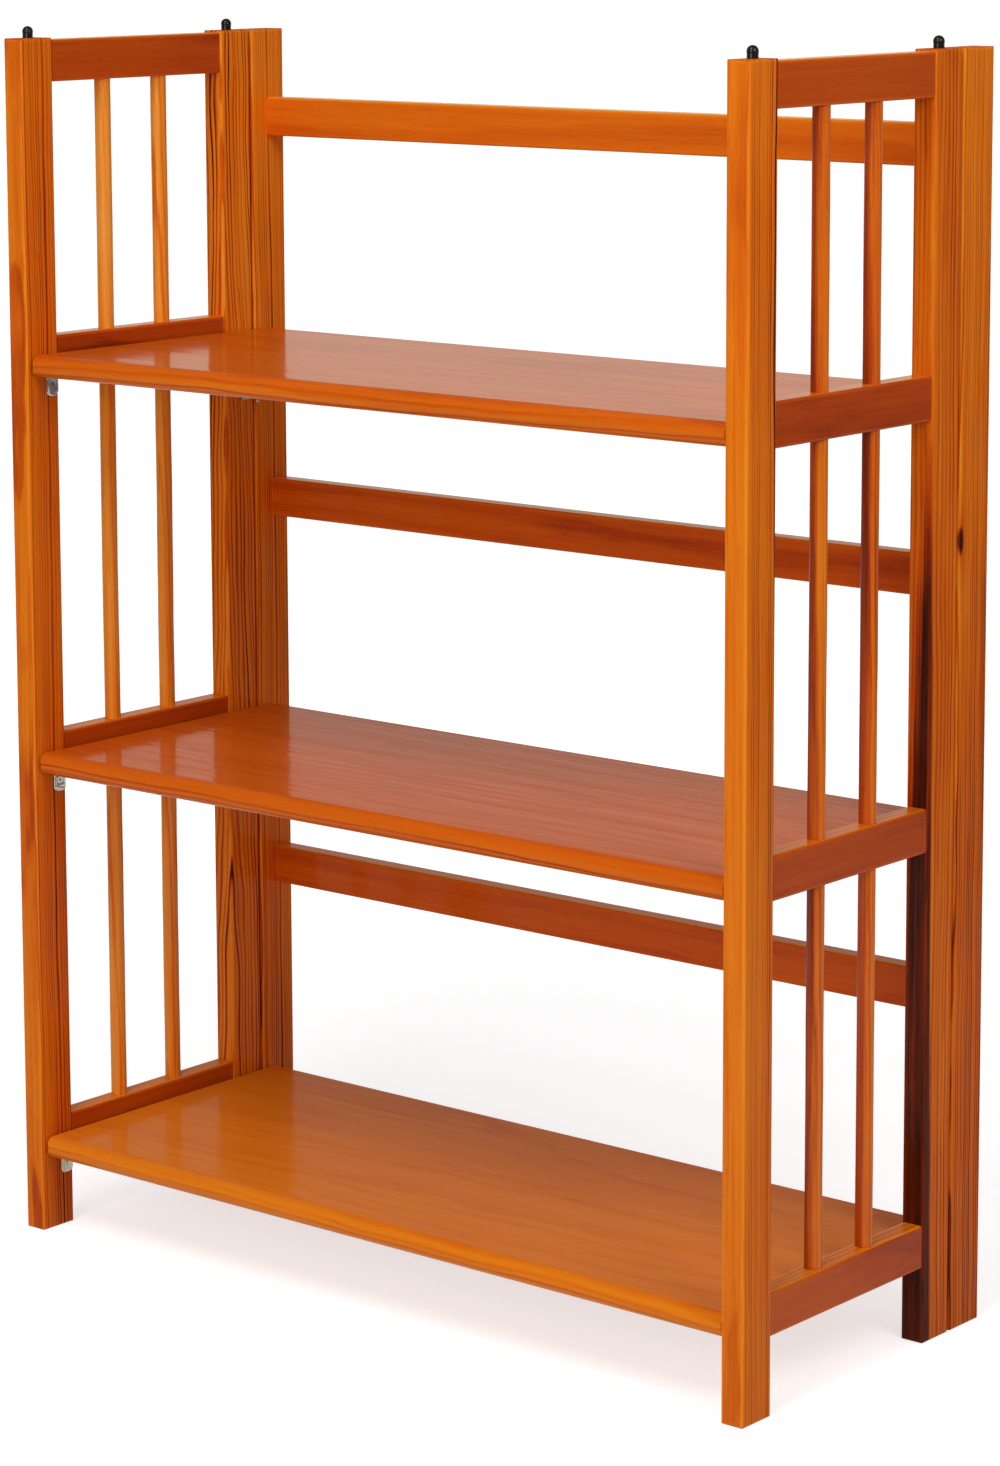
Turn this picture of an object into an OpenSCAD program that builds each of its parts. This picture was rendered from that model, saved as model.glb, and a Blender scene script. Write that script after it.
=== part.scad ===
// Folding bookcase in stained pine. Two side frames are hinged to a back frame, and three
// shelves pivot up against the back rails, so that the side frames can then fold in.
// Millimetres. X runs across the front, Y from front to back, Z up. The origin is on the
// floor, at the middle of the width and the depth.

/* [Overall] */
// Width over the outer faces of the side frames
overall_w = 698; // [600:1:900]
// Depth from the front of the front legs to the back of the stiles
overall_d = 292; // [280:1:330]
// Height of the legs and stiles, without the stacking pins
leg_h = 930; // [910:1:1010]

/* [Legs and stiles] */
// Thickness of the legs and stiles, across the bookcase
post_t = 19; // [17:0.5:24]
// Width of a leg, front to back
leg_w = 33.5; // [31:0.5:38]
// Width of a back stile, front to back
stile_w = 38; // [36:0.5:44]
// Gap between a rear leg and its stile, which the folding hinges bridge
fold_gap = 2; // [1.5:0.1:3]
// Radius on the long edges of the legs and stiles
post_edge_r = 2.5; // [1:0.25:3.5]
// Radius round the ends of the legs and stiles
post_end_r = 1.5; // [0.5:0.25:2]

/* [Side rails] */
// Thickness of a side rail, across the bookcase
side_rail_t = 16.5; // [15:0.5:17]
// Height of a side rail
side_rail_h = 32; // [29:0.5:38]
// Radius on the long edges of a side rail
side_rail_edge_r = 2; // [0.5:0.25:3]
// How far the top side rail lies below the leg tops
top_rail_drop = 1.5; // [0:0.5:6]
// How far each other side rail stands above its shelf
rail_rise = 13; // [8:0.5:16]

/* [Spindles] */
// Diameter of a spindle
spindle_d = 12.5; // [10:0.25:13.5]
// Depth of a spindle's end in its rail
spindle_tenon = 10; // [6:0.5:13]

/* [Shelves] */
// Thickness of a shelf
shelf_t = 17; // [15:0.5:18.5]
// Height of the bottom shelf's top face
bottom_shelf_z = 75; // [68:1:90]
// Height of the middle shelf's top face
middle_shelf_z = 381; // [372:1:390]
// Height of the top shelf's top face
top_shelf_z = 690; // [682:1:700]
// How far the front edge of a shelf lies behind the front of the legs
shelf_setback = 3; // [1:0.5:10]
// Gap between each end of a shelf and the side frame
shelf_end_gap = 1.5; // [1:0.1:2.4]
// How far a shelf reaches behind its pivot
shelf_tail = 5.5; // [4.5:0.25:6]
// Radius on the ends and the rear edge of a shelf
shelf_edge_r = 1.5; // [0.5:0.25:2.5]

/* [Shelf pivots] */
// Diameter of a shelf pivot pin
pivot_d = 6; // [5:0.25:7]
// Depth of the pivot's axis below the shelf's top face
pivot_drop = 10.5; // [9.5:0.25:11]
// Distance of the pivot's axis behind the stile's front face
pivot_inset = 6.5; // [6:0.25:8]
// Length of a pivot pin that is held in the stile
pivot_in_stile = 14; // [8:0.5:15]
// Length of a pivot pin that the shelf turns on
pivot_in_shelf = 25; // [15:0.5:40]
// Gap between a raised shelf and the back rail that it leans towards
raised_gap = 0.4; // [0.3:0.1:1]

/* [Back rails] */
// Thickness of a back rail, front to back
back_rail_t = 16; // [14:0.5:18]
// Height of a back rail
back_rail_h = 31; // [28:0.5:45]
// Radius on the long edges of a back rail
back_rail_edge_r = 2; // [0.5:0.25:3]
// Height of the two lower back rails' lower edges above their shelves
back_rail_rise = 154.5; // [120:0.5:180]
// How far the top back rail lies below the tops of the stiles
top_back_rail_drop = 54.5; // [30:0.5:90]

/* [Dowels] */
// Diameter of the dowels in the rail joints
dowel_d = 6; // [5:0.5:8]
// Distance between the two dowels of a joint
dowel_pitch = 16; // [12:0.5:18]
// Depth of a dowel in a leg
dowel_in_leg = 11; // [8:0.5:11.5]
// Depth of a dowel in a stile
dowel_in_stile = 12; // [8:0.5:14]
// Depth of a dowel in a rail
dowel_in_rail = 17; // [12:0.5:25]

/* [Folding hinges] */
// Height of a hinge
hinge_h = 32; // [28:0.5:34]
// Distance from a hinge's top to the underside of the shelf above it
hinge_drop = 7.5; // [4.5:0.25:8]
// Width of a hinge leaf, from the pin's axis to its edge
leaf_w = 17; // [14:0.5:20]
// Thickness of a hinge leaf
leaf_t = 1.5; // [1.25:0.05:1.75]
// Radius of the leaf's outer corners
leaf_corner_r = 2; // [0.5:0.25:3]
// Outer diameter of a knuckle
knuckle_d = 5; // [4.6:0.1:5.6]
// Gap between neighbouring knuckles, and round a knuckle in the other leaf
knuckle_gap = 0.3; // [0.2:0.05:0.5]
// Diameter of a hinge pin
hinge_pin_d = 2.4; // [2:0.1:2.6]
// Diameter of the ball on each end of a hinge pin
tip_d = 3.2; // [2.8:0.1:3.4]
// Distance of the leaf screws from the pin's axis
leaf_screw_in = 10.5; // [8:0.25:11]
// Distance between the two screws of a leaf
leaf_screw_pitch = 18; // [14:0.5:20]

/* [Shelf brackets] */
// Width of an angle bracket, front to back
bracket_w = 12.5; // [10:0.25:14]
// Height of the leg that is screwed on
bracket_h = 16; // [14:0.5:20]
// Length of the ledge under the shelf
bracket_reach = 15; // [10:0.5:25]
// Thickness of the bracket's steel
bracket_t = 1.5; // [1.25:0.05:2]
// Outer radius of the bracket's bend
bracket_bend_r = 2.5; // [2.1:0.1:3.5]
// Radius of the bracket's free corners
bracket_corner_r = 4; // [1:0.25:4.75]
// Distance from the bracket to the rear edge of the front leg
bracket_inset = 1.7; // [0.5:0.1:5]
// Depth of the bracket's screw below the shelf
bracket_screw_drop = 7; // [6:0.25:9]

/* [Screws] */
// Diameter of a screw's shank
screw_d = 3; // [2.5:0.1:3.2]
// Diameter of a screw's countersunk head
screw_head_d = 6; // [5:0.1:6.5]
// Length of a screw, head and point included
screw_l = 13; // [10:0.5:15]
// Length of a screw's point
screw_point_l = 3; // [2:0.25:4]

/* [Stacking pins and sockets] */
// Diameter of a stacking pin's shank above the leg
stack_shank_d = 8; // [7.6:0.1:8.3]
// Diameter of a stacking pin's ball
stack_ball_d = 8.4; // [8.4:0.1:8.8]
// Height of the ball's centre above the leg
stack_ball_z = 4.8; // [4.5:0.1:6]
// Diameter of the spigot in the leg
stack_spigot_d = 6; // [5:0.25:7]
// Depth of the spigot in the leg
stack_spigot_l = 18; // [12:0.5:25]
// Diameter of the socket in the foot of each leg
socket_d = 9; // [9:0.1:10]
// Depth of the socket
socket_l = 12; // [10:0.5:20]

/* [Clearances] */
// Radial clearance round glued dowels, spindles, spigots and screws
glue_gap = 0.1; // [0.05:0.01:0.15]
// Radial clearance round the pins that something turns on
pin_gap = 0.05; // [0.02:0.01:0.08]
// Free length beyond the end of a pivot pin in its shelf
pin_end_gap = 1; // [0.5:0.25:3]

/* [Hidden] */
$fn = 48;
node = "all";

honey_pine = "#C65A12";
dowel_wood = "#D8B282";
steel = "#B8B6B0";
black_steel = "#161616";

// Faces and centre lines of the frames
half_w = overall_w / 2;
inner_x = half_w - post_t;
post_x = half_w - post_t / 2;
front_y = -overall_d / 2;
rear_y = overall_d / 2;
front_leg_y = front_y + leg_w / 2;
stile_front_y = rear_y - stile_w;
stile_y = rear_y - stile_w / 2;
rear_leg_y = stile_front_y - fold_gap - leg_w / 2;
rail_front_y = front_leg_y + leg_w / 2;
rail_rear_y = rear_leg_y - leg_w / 2;
rail_l = rail_rear_y - rail_front_y;
spindle_pitch = rail_l / 3;

// Shelves and their pivots
shelf_x = inner_x - shelf_end_gap;
pivot_y = stile_front_y + pivot_inset;
shelf_front_y = front_y + shelf_setback;
shelf_rear_y = pivot_y + shelf_tail;
nose_r = shelf_t / 2;
back_rail_y = pivot_y + pivot_drop + raised_gap + back_rail_t / 2;

// Folding hinges
knuckle_r = knuckle_d / 2;
knuckles = 5;
hinge_x = inner_x - knuckle_r;
hinge_y = stile_front_y - fold_gap / 2;
knuckle_l = (hinge_h - (knuckles - 1) * knuckle_gap) / knuckles;
leaf_start = knuckle_r + knuckle_gap;

// Shelf brackets
bracket_y = rail_front_y - bracket_inset - bracket_w / 2;

// Names of the repeated pieces, and their heights
SIDES = ["left", "right"];
SHELVES = ["bottom", "middle", "top"];
shelf_tops = [bottom_shelf_z, middle_shelf_z, top_shelf_z];
back_rail_tops = concat(
    [for (z = [bottom_shelf_z, middle_shelf_z]) z + back_rail_rise + back_rail_h],
    [leg_h - top_back_rail_drop]);
RAILS = ["lower", "middle", "upper", "top"];
rail_tops = concat([for (z = shelf_tops) z + rail_rise], [leg_h - top_rail_drop]);
BAYS = ["lower", "middle", "upper"];
ROWS = ["front", "rear"];
spindle_ys = [for (n = [1, 2]) rail_front_y + n * spindle_pitch];

NODES = concat(
    [for (side = SIDES) str(side, "_stile")],
    [for (shelf = SHELVES) str(shelf, "_back_rail")],
    ["back_rail_dowels", "shelf_pivot_pins"],
    [for (side = SIDES, part = [
        "stile_hinge_leaves", "leg_hinge_leaves", "hinge_pins",
        "stile_hinge_screws", "leg_hinge_screws",
        "front_leg", "rear_leg", "side_rail_dowels",
        "front_stacking_pin", "rear_stacking_pin", "bracket_screws"
    ]) str(side, "_", part)],
    [for (side = SIDES, rail = RAILS) str(side, "_", rail, "_rail")],
    [for (side = SIDES, bay = BAYS, row = ROWS) str(side, "_", bay, "_", row, "_spindle")],
    [for (side = SIDES, shelf = SHELVES) str(side, "_", shelf, "_bracket")],
    [for (shelf = SHELVES) str(shelf, "_shelf")]
);

// ---- shapes used by several pieces ----

// A rectangle with round corners, centred
module round_rect(w, h, r) {
    square([w - 2 * r, h], center = true);
    square([w, h - 2 * r], center = true);
    for (x = [-1, 1], y = [-1, 1])
        translate([x * (w / 2 - r), y * (h / 2 - r)]) circle(r = r);
}

// Extrusion along X, centred: the child's x and y become y and z
module along_x(l) {
    rotate([90, 0, 90]) linear_extrude(l, center = true) children();
}

// Extrusion along Y, centred: the child's x and y become x and z
module along_y(l) {
    rotate([90, 0, 0]) linear_extrude(l, center = true) children();
}

// A leg or a stile standing on the floor, with every edge rounded
module post(w) {
    intersection() {
        linear_extrude(leg_h) round_rect(post_t, w, post_edge_r);
        translate([0, 0, leg_h / 2]) along_y(w) round_rect(post_t, leg_h, post_end_r);
        translate([0, 0, leg_h / 2]) along_x(post_t) round_rect(w, leg_h, post_end_r);
    }
}

// A round hole or dowel along X from x = 0 to x = l
module x_cylinder(r, l) {
    rotate([0, 90, 0]) cylinder(r = r, h = l);
}

// A round hole or dowel along Y from y = 0 to y = l
module y_cylinder(r, l) {
    rotate([-90, 0, 0]) cylinder(r = r, h = l);
}

// Heights of the two dowels in a rail of height h whose top is at z
function dowel_zs(z, h) = [for (s = [-1, 1]) z - h / 2 + s * dowel_pitch / 2];

// A countersunk screw that is driven along +X, its head flush at x = 0
module screw() {
    r = screw_d / 2;
    head_r = screw_head_d / 2;
    rotate([0, 90, 0]) rotate_extrude() polygon([
        [0, 0], [head_r, 0], [r, head_r - r], [r, screw_l - screw_point_l], [0, screw_l]
    ]);
}

// The hole for that screw, with its countersink
module screw_hole() {
    r = screw_d / 2 + glue_gap;
    head_r = screw_head_d / 2 + glue_gap;
    rotate([0, 90, 0]) {
        cylinder(r1 = head_r, r2 = r, h = head_r - r);
        cylinder(r = r, h = screw_l + glue_gap);
    }
}

// Puts a child drawn for the right-hand side on either side
module on_side(side) {
    mirror([side == "left" ? 1 : 0, 0, 0]) children();
}

// ---- hinge places, for the right-hand side ----

// Middle height of each hinge
hinge_zs = [for (z = shelf_tops) z - shelf_t - hinge_drop - hinge_h / 2];

// Puts a child at each screw of the leaves on one side of the hinge axis
module at_leaf_screws(towards) {
    for (z = hinge_zs, s = [-1, 1])
        translate([inner_x - leaf_t, hinge_y + towards * leaf_screw_in,
                   z + s * leaf_screw_pitch / 2]) children();
}

// Puts a child at each bracket screw
module at_bracket_screws() {
    for (z = shelf_tops)
        translate([inner_x - bracket_t, bracket_y, z - shelf_t - bracket_screw_drop]) children();
}

// ---- back frame ----

// Back stile, drilled for the back rails' dowels, the shelf pivots and the hinge screws
module stile() {
    color(honey_pine) difference() {
        translate([post_x, stile_y, 0]) post(stile_w);
        for (top = back_rail_tops, z = dowel_zs(top, back_rail_h))
            translate([inner_x, back_rail_y, z])
                x_cylinder(dowel_d / 2 + glue_gap, dowel_in_stile);
        for (top = shelf_tops)
            translate([inner_x, pivot_y, top - pivot_drop])
                x_cylinder(pivot_d / 2 + glue_gap, pivot_in_stile);
        at_leaf_screws(1) screw_hole();
    }
}

// Flat rail between the stiles, drilled at both ends, with its upper edge at top
module back_rail(top) {
    z = top - back_rail_h / 2;
    color(honey_pine) difference() {
        translate([0, back_rail_y, z])
            along_x(2 * inner_x) round_rect(back_rail_t, back_rail_h, back_rail_edge_r);
        for (side = SIDES, dz = [-1, 1] * dowel_pitch / 2)
            on_side(side) translate([inner_x - dowel_in_rail, back_rail_y, z + dz])
                x_cylinder(dowel_d / 2 + glue_gap, dowel_in_rail);
    }
}

// Dowels of the back rails
module back_rail_dowels() {
    color(dowel_wood)
    for (side = SIDES, top = back_rail_tops)
        for (z = dowel_zs(top, back_rail_h))
            on_side(side) translate([inner_x - dowel_in_rail, back_rail_y, z])
                x_cylinder(dowel_d / 2, dowel_in_rail + dowel_in_stile);
}

// Steel pins that the shelves turn on
module shelf_pivot_pins() {
    color(steel)
    for (side = SIDES, top = shelf_tops)
        on_side(side) translate([shelf_x - pivot_in_shelf, pivot_y, top - pivot_drop])
            x_cylinder(pivot_d / 2, pivot_in_shelf + shelf_end_gap + pivot_in_stile);
}

// ---- folding hinges ----

// One leaf of a hinge about its pin, lying towards +Y (1) or -Y (-1) of the pin.
// A leaf that starts at the first knuckle holds the odd ones, and the other the even ones.
module hinge_leaf(towards, first) {
    plate_w = leaf_w - leaf_start;
    difference() {
        union() {
            intersection() {
                translate([knuckle_r - leaf_t / 2, towards * (leaf_start + plate_w / 2), 0])
                    cube([leaf_t, plate_w, hinge_h], center = true);
                translate([knuckle_r, 0, 0])
                    along_x(4 * leaf_t) round_rect(2 * leaf_w, hinge_h, leaf_corner_r);
            }
            for (n = [first : 2 : knuckles - 1])
                translate([0, 0, n * (knuckle_l + knuckle_gap) - hinge_h / 2]) {
                    cylinder(r = knuckle_r, h = knuckle_l);
                    translate([knuckle_r - leaf_t, towards > 0 ? 0 : -leaf_start, 0])
                        cube([leaf_t, leaf_start, knuckle_l]);
                }
        }
        translate([0, 0, -hinge_h])
            cylinder(r = hinge_pin_d / 2 + pin_gap, h = 2 * hinge_h);
    }
}

// The leaves that are screwed to the stile
module stile_hinge_leaves() {
    color(steel) difference() {
        for (z = hinge_zs) translate([hinge_x, hinge_y, z]) hinge_leaf(1, 0);
        at_leaf_screws(1) screw_hole();
    }
}

// The leaves that are screwed to the rear leg
module leg_hinge_leaves() {
    color(steel) difference() {
        for (z = hinge_zs) translate([hinge_x, hinge_y, z]) hinge_leaf(-1, 1);
        at_leaf_screws(-1) screw_hole();
    }
}

// Hinge pins, each with a collar and a ball at both ends
module hinge_pins() {
    collar_h = 0.25 * tip_d;
    color(steel)
    for (z = hinge_zs) translate([hinge_x, hinge_y, z]) {
        cylinder(r = hinge_pin_d / 2, h = hinge_h + 2 * collar_h, center = true);
        for (end = [0, 1]) mirror([0, 0, end]) translate([0, 0, hinge_h / 2]) {
            cylinder(r = (tip_d + hinge_pin_d) / 3, h = collar_h);
            translate([0, 0, tip_d / 2 + collar_h / 2]) sphere(d = tip_d);
        }
    }
}

module stile_hinge_screws() {
    color(steel) at_leaf_screws(1) screw();
}

module leg_hinge_screws() {
    color(steel) at_leaf_screws(-1) screw();
}

// ---- side frame ----

// Leg whose centre is at y, with holes on its face towards the rails. The top takes a
// stacking pin's spigot, and the foot has a socket for the pin of a unit below.
module leg(y, towards) {
    difference() {
        translate([post_x, y, 0]) post(leg_w);
        for (top = rail_tops, z = dowel_zs(top, side_rail_h))
            translate([post_x, y + towards * leg_w / 2, z])
                rotate([0, 0, towards > 0 ? 180 : 0])
                    y_cylinder(dowel_d / 2 + glue_gap, dowel_in_leg);
        translate([post_x, y, leg_h - stack_spigot_l])
            cylinder(r = stack_spigot_d / 2 + glue_gap, h = stack_spigot_l + 1);
        translate([post_x, y, -1]) cylinder(d = socket_d, h = socket_l + 1);
    }
}

module front_leg() {
    color(honey_pine) difference() {
        leg(front_leg_y, 1);
        at_bracket_screws() screw_hole();
    }
}

module rear_leg() {
    color(honey_pine) difference() {
        leg(rear_leg_y, -1);
        at_leaf_screws(-1) screw_hole();
    }
}

// Rail between the legs, drilled at its ends for dowels and above and below for spindles
module side_rail(n) {
    top = rail_tops[n];
    has_bay_above = n < len(RAILS) - 1;
    has_bay_below = n > 0;
    color(honey_pine) difference() {
        translate([post_x, (rail_front_y + rail_rear_y) / 2, top - side_rail_h / 2])
            along_y(rail_l) round_rect(side_rail_t, side_rail_h, side_rail_edge_r);
        for (z = dowel_zs(top, side_rail_h)) {
            translate([post_x, rail_front_y, z])
                y_cylinder(dowel_d / 2 + glue_gap, dowel_in_rail);
            translate([post_x, rail_rear_y - dowel_in_rail, z])
                y_cylinder(dowel_d / 2 + glue_gap, dowel_in_rail);
        }
        for (y = spindle_ys) {
            if (has_bay_above) translate([post_x, y, top - spindle_tenon])
                cylinder(r = spindle_d / 2 + glue_gap, h = spindle_tenon + 1);
            if (has_bay_below) translate([post_x, y, top - side_rail_h - 1])
                cylinder(r = spindle_d / 2 + glue_gap, h = spindle_tenon + 1);
        }
    }
}

// Dowels of the side rails
module side_rail_dowels() {
    color(dowel_wood)
    for (top = rail_tops, z = dowel_zs(top, side_rail_h)) {
        translate([post_x, rail_front_y - dowel_in_leg, z])
            y_cylinder(dowel_d / 2, dowel_in_leg + dowel_in_rail);
        translate([post_x, rail_rear_y - dowel_in_rail, z])
            y_cylinder(dowel_d / 2, dowel_in_leg + dowel_in_rail);
    }
}

// Round spindle between the rails below and above its bay
module spindle(bay, row) {
    foot = rail_tops[bay] - spindle_tenon;
    head = rail_tops[bay + 1] - side_rail_h + spindle_tenon;
    color(honey_pine)
        translate([post_x, spindle_ys[row], foot]) cylinder(d = spindle_d, h = head - foot);
}

// Pin that locates a second unit stacked on top: spigot, shank and ball
module stacking_pin(y) {
    color(black_steel) translate([post_x, y, leg_h]) {
        translate([0, 0, -stack_spigot_l]) cylinder(d = stack_spigot_d, h = stack_spigot_l);
        cylinder(d = stack_shank_d, h = stack_ball_z);
        translate([0, 0, stack_ball_z]) sphere(d = stack_ball_d);
    }
}

// ---- shelf brackets ----

// Bent steel angle: one leg against the front leg, the other under the shelf
module bracket(top) {
    under = top - shelf_t;
    color(steel) difference() {
        translate([inner_x, bracket_y, under]) intersection() {
            // the bent strip, seen from the front
            along_y(bracket_w) difference() {
                union() {
                    translate([-bracket_t, -bracket_h]) square([bracket_t, bracket_h - bracket_bend_r]);
                    translate([-bracket_reach, -bracket_t]) square([bracket_reach - bracket_bend_r, bracket_t]);
                    intersection() {
                        translate([-bracket_bend_r, -bracket_bend_r]) circle(r = bracket_bend_r);
                        translate([-bracket_bend_r, -bracket_bend_r]) square(bracket_bend_r);
                    }
                }
                translate([-bracket_bend_r, -bracket_bend_r]) circle(r = bracket_bend_r - bracket_t);
            }
            // its round corners, at the foot and at the end of the ledge
            along_x(3 * bracket_reach) round_rect(bracket_w, 2 * bracket_h, bracket_corner_r);
            linear_extrude(3 * bracket_h, center = true)
                round_rect(2 * bracket_reach, bracket_w, bracket_corner_r);
        }
        at_bracket_screws() screw_hole();
    }
}

module bracket_screws() {
    color(steel) at_bracket_screws() screw();
}

// ---- shelves ----

// One-piece shelf with a full round front edge, bored at each end for its pivot pin
module shelf(top) {
    l = shelf_rear_y - shelf_front_y;
    mid_y = (shelf_rear_y + shelf_front_y) / 2;
    bore_l = pivot_in_shelf + pin_end_gap;
    color(honey_pine) difference() {
        intersection() {
            // section: half-round nose in front, small rounds behind
            translate([0, mid_y, top - shelf_t / 2]) along_x(2 * shelf_x) {
                translate([-l / 2 + nose_r, 0]) circle(r = nose_r);
                translate([-l / 2 + nose_r, -shelf_t / 2]) square([l - nose_r - shelf_edge_r, shelf_t]);
                translate([0, -shelf_t / 2 + shelf_edge_r])
                    square([l / 2, shelf_t - 2 * shelf_edge_r]);
                for (s = [-1, 1])
                    translate([l / 2 - shelf_edge_r, s * (shelf_t / 2 - shelf_edge_r)])
                        circle(r = shelf_edge_r);
            }
            // end edges rounded above and below, and in plan
            translate([0, mid_y, top - shelf_t / 2])
                along_y(2 * l) round_rect(2 * shelf_x, shelf_t, shelf_edge_r);
            translate([0, mid_y, top - shelf_t / 2]) linear_extrude(2 * shelf_t, center = true)
                round_rect(2 * shelf_x, l, 2 * shelf_edge_r);
        }
        for (side = SIDES)
            on_side(side) translate([shelf_x - bore_l, pivot_y, top - pivot_drop])
                x_cylinder(pivot_d / 2 + pin_gap, bore_l + 1);
    }
}

// ---- the assembly ----

function wanted(name) = node == "all" || node == name;

for (side = SIDES) on_side(side) {
    if (wanted(str(side, "_stile"))) stile();
    if (wanted(str(side, "_stile_hinge_leaves"))) stile_hinge_leaves();
    if (wanted(str(side, "_leg_hinge_leaves"))) leg_hinge_leaves();
    if (wanted(str(side, "_hinge_pins"))) hinge_pins();
    if (wanted(str(side, "_stile_hinge_screws"))) stile_hinge_screws();
    if (wanted(str(side, "_leg_hinge_screws"))) leg_hinge_screws();
    if (wanted(str(side, "_front_leg"))) front_leg();
    if (wanted(str(side, "_rear_leg"))) rear_leg();
    if (wanted(str(side, "_side_rail_dowels"))) side_rail_dowels();
    if (wanted(str(side, "_front_stacking_pin"))) stacking_pin(front_leg_y);
    if (wanted(str(side, "_rear_stacking_pin"))) stacking_pin(rear_leg_y);
    if (wanted(str(side, "_bracket_screws"))) bracket_screws();
    for (n = [0 : len(RAILS) - 1])
        if (wanted(str(side, "_", RAILS[n], "_rail"))) side_rail(n);
    for (bay = [0 : len(BAYS) - 1], row = [0 : len(ROWS) - 1])
        if (wanted(str(side, "_", BAYS[bay], "_", ROWS[row], "_spindle"))) spindle(bay, row);
    for (n = [0 : len(SHELVES) - 1])
        if (wanted(str(side, "_", SHELVES[n], "_bracket"))) bracket(shelf_tops[n]);
}

for (n = [0 : len(SHELVES) - 1]) {
    if (wanted(str(SHELVES[n], "_shelf"))) shelf(shelf_tops[n]);
    if (wanted(str(SHELVES[n], "_back_rail"))) back_rail(back_rail_tops[n]);
}

if (wanted("back_rail_dowels")) back_rail_dowels();
if (wanted("shelf_pivot_pins")) shelf_pivot_pins();
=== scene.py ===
import math

import bmesh
import bpy
from mathutils import Matrix, Vector


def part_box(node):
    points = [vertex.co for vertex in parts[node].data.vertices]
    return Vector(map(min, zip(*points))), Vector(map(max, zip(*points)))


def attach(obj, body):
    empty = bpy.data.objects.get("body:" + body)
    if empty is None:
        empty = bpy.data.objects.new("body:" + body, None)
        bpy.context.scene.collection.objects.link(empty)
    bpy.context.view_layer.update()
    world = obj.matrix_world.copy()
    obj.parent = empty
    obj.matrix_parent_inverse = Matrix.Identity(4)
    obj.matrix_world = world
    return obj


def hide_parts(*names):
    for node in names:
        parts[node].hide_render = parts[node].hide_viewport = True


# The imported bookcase, each piece standing where it is fixed, in metres. X runs across the
# front, Y from front to back and Z up from the floor.
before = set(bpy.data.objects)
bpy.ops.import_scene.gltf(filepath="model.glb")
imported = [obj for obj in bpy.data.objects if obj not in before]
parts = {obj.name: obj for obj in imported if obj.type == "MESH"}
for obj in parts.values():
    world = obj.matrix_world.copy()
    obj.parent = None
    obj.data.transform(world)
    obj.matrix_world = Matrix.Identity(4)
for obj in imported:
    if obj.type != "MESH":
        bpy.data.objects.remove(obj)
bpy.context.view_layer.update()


# ---- Back stiles ----
# Two upright pine boards that the whole bookcase hangs on, sawn with straight growth rings,
# stained honey orange and sprayed with satin lacquer. The stain and the ring pattern here
# serve every pine piece; each board below has its own heart, ring width and depth of stain.

# Pine under the stain, from a thin coat on a pale edge to a dark heart streak or a knot
STAIN_STEPS = [
    (0.00, (0.92, 0.36, 0.050)),
    (0.15, (0.85, 0.245, 0.011)),
    (0.30, (0.76, 0.158, 0.005)),
    (0.45, (0.63, 0.100, 0.0032)),
    (0.60, (0.46, 0.055, 0.0026)),
    (0.75, (0.28, 0.029, 0.0023)),
    (0.88, (0.11, 0.013, 0.0020)),
    (1.00, (0.030, 0.006, 0.0018)),
]
# Depth of stain across one growth ring, from the pale spring wood to the dark late wood
RING_STEPS = [
    (0.00, 0.12), (0.10, 0.0), (0.46, 0.04), (0.62, 0.40),
    (0.74, 1.0), (0.92, 0.95), (1.00, 0.12),
]


def add_node(tree, kind, *values, **settings):
    """Adds a node, links or sets its inputs in order, and returns it."""
    made = tree.nodes.new(kind)
    for key, value in settings.items():
        setattr(made, key, value)
    for socket, value in zip(made.inputs, values):
        if isinstance(value, bpy.types.NodeSocket):
            tree.links.new(value, socket)
        elif value is not None:
            socket.default_value = value
    return made


def number(tree, operation, *values):
    """A Math node's result."""
    return add_node(tree, "ShaderNodeMath", *values, operation=operation).outputs[0]


def vector(tree, operation, *values):
    """A Vector Math node's result: a number for a length or a dot product."""
    made = add_node(tree, "ShaderNodeVectorMath", *values, operation=operation)
    return made.outputs["Value" if operation in ("LENGTH", "DOT_PRODUCT") else "Vector"]


def scaled(tree, value, factor):
    """A vector times a number."""
    return add_node(tree, "ShaderNodeVectorMath", value, None, None, factor, operation="SCALE").outputs[0]


def ease(tree, value, low, high, to_low=0.0, to_high=1.0):
    """A smooth step of value from low to high."""
    made = add_node(tree, "ShaderNodeMapRange", value, low, high, to_low, to_high,
                    interpolation_type="SMOOTHSTEP")
    return made.outputs[0]


def fade(tree, value, near, far):
    """1 up to near, easing away to 0 at far."""
    return ease(tree, value, near, far, 1.0, 0.0)


def stretched_noise(tree, place, stretch, detail=2.0, result="Fac"):
    """Noise whose cells are 1 / stretch metres long on each axis."""
    made = add_node(tree, "ShaderNodeTexNoise", vector(tree, "MULTIPLY", place, stretch))
    made.inputs["Scale"].default_value = 1.0
    made.inputs["Detail"].default_value = detail
    return made.outputs[result]


def drift(tree, place, stretch, amounts):
    """A wandering offset, by up to half its amount to either side on each axis."""
    noise = stretched_noise(tree, place, stretch, 1.0, "Color")
    return vector(tree, "MULTIPLY", vector(tree, "SUBTRACT", noise, (0.5, 0.5, 0.5)), amounts)


def ramp(tree, value, steps):
    """A Color Ramp through (position, number or colour) steps."""
    made = add_node(tree, "ShaderNodeValToRGB", value)
    stops = made.color_ramp.elements
    while len(stops) < len(steps):
        stops.new(1.0)
    for stop, (position, shade) in zip(stops, steps):
        stop.position = position
        stop.color = (*shade, 1.0) if isinstance(shade, tuple) else (shade, shade, shade, 1.0)
    return made.outputs["Color"]


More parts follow.
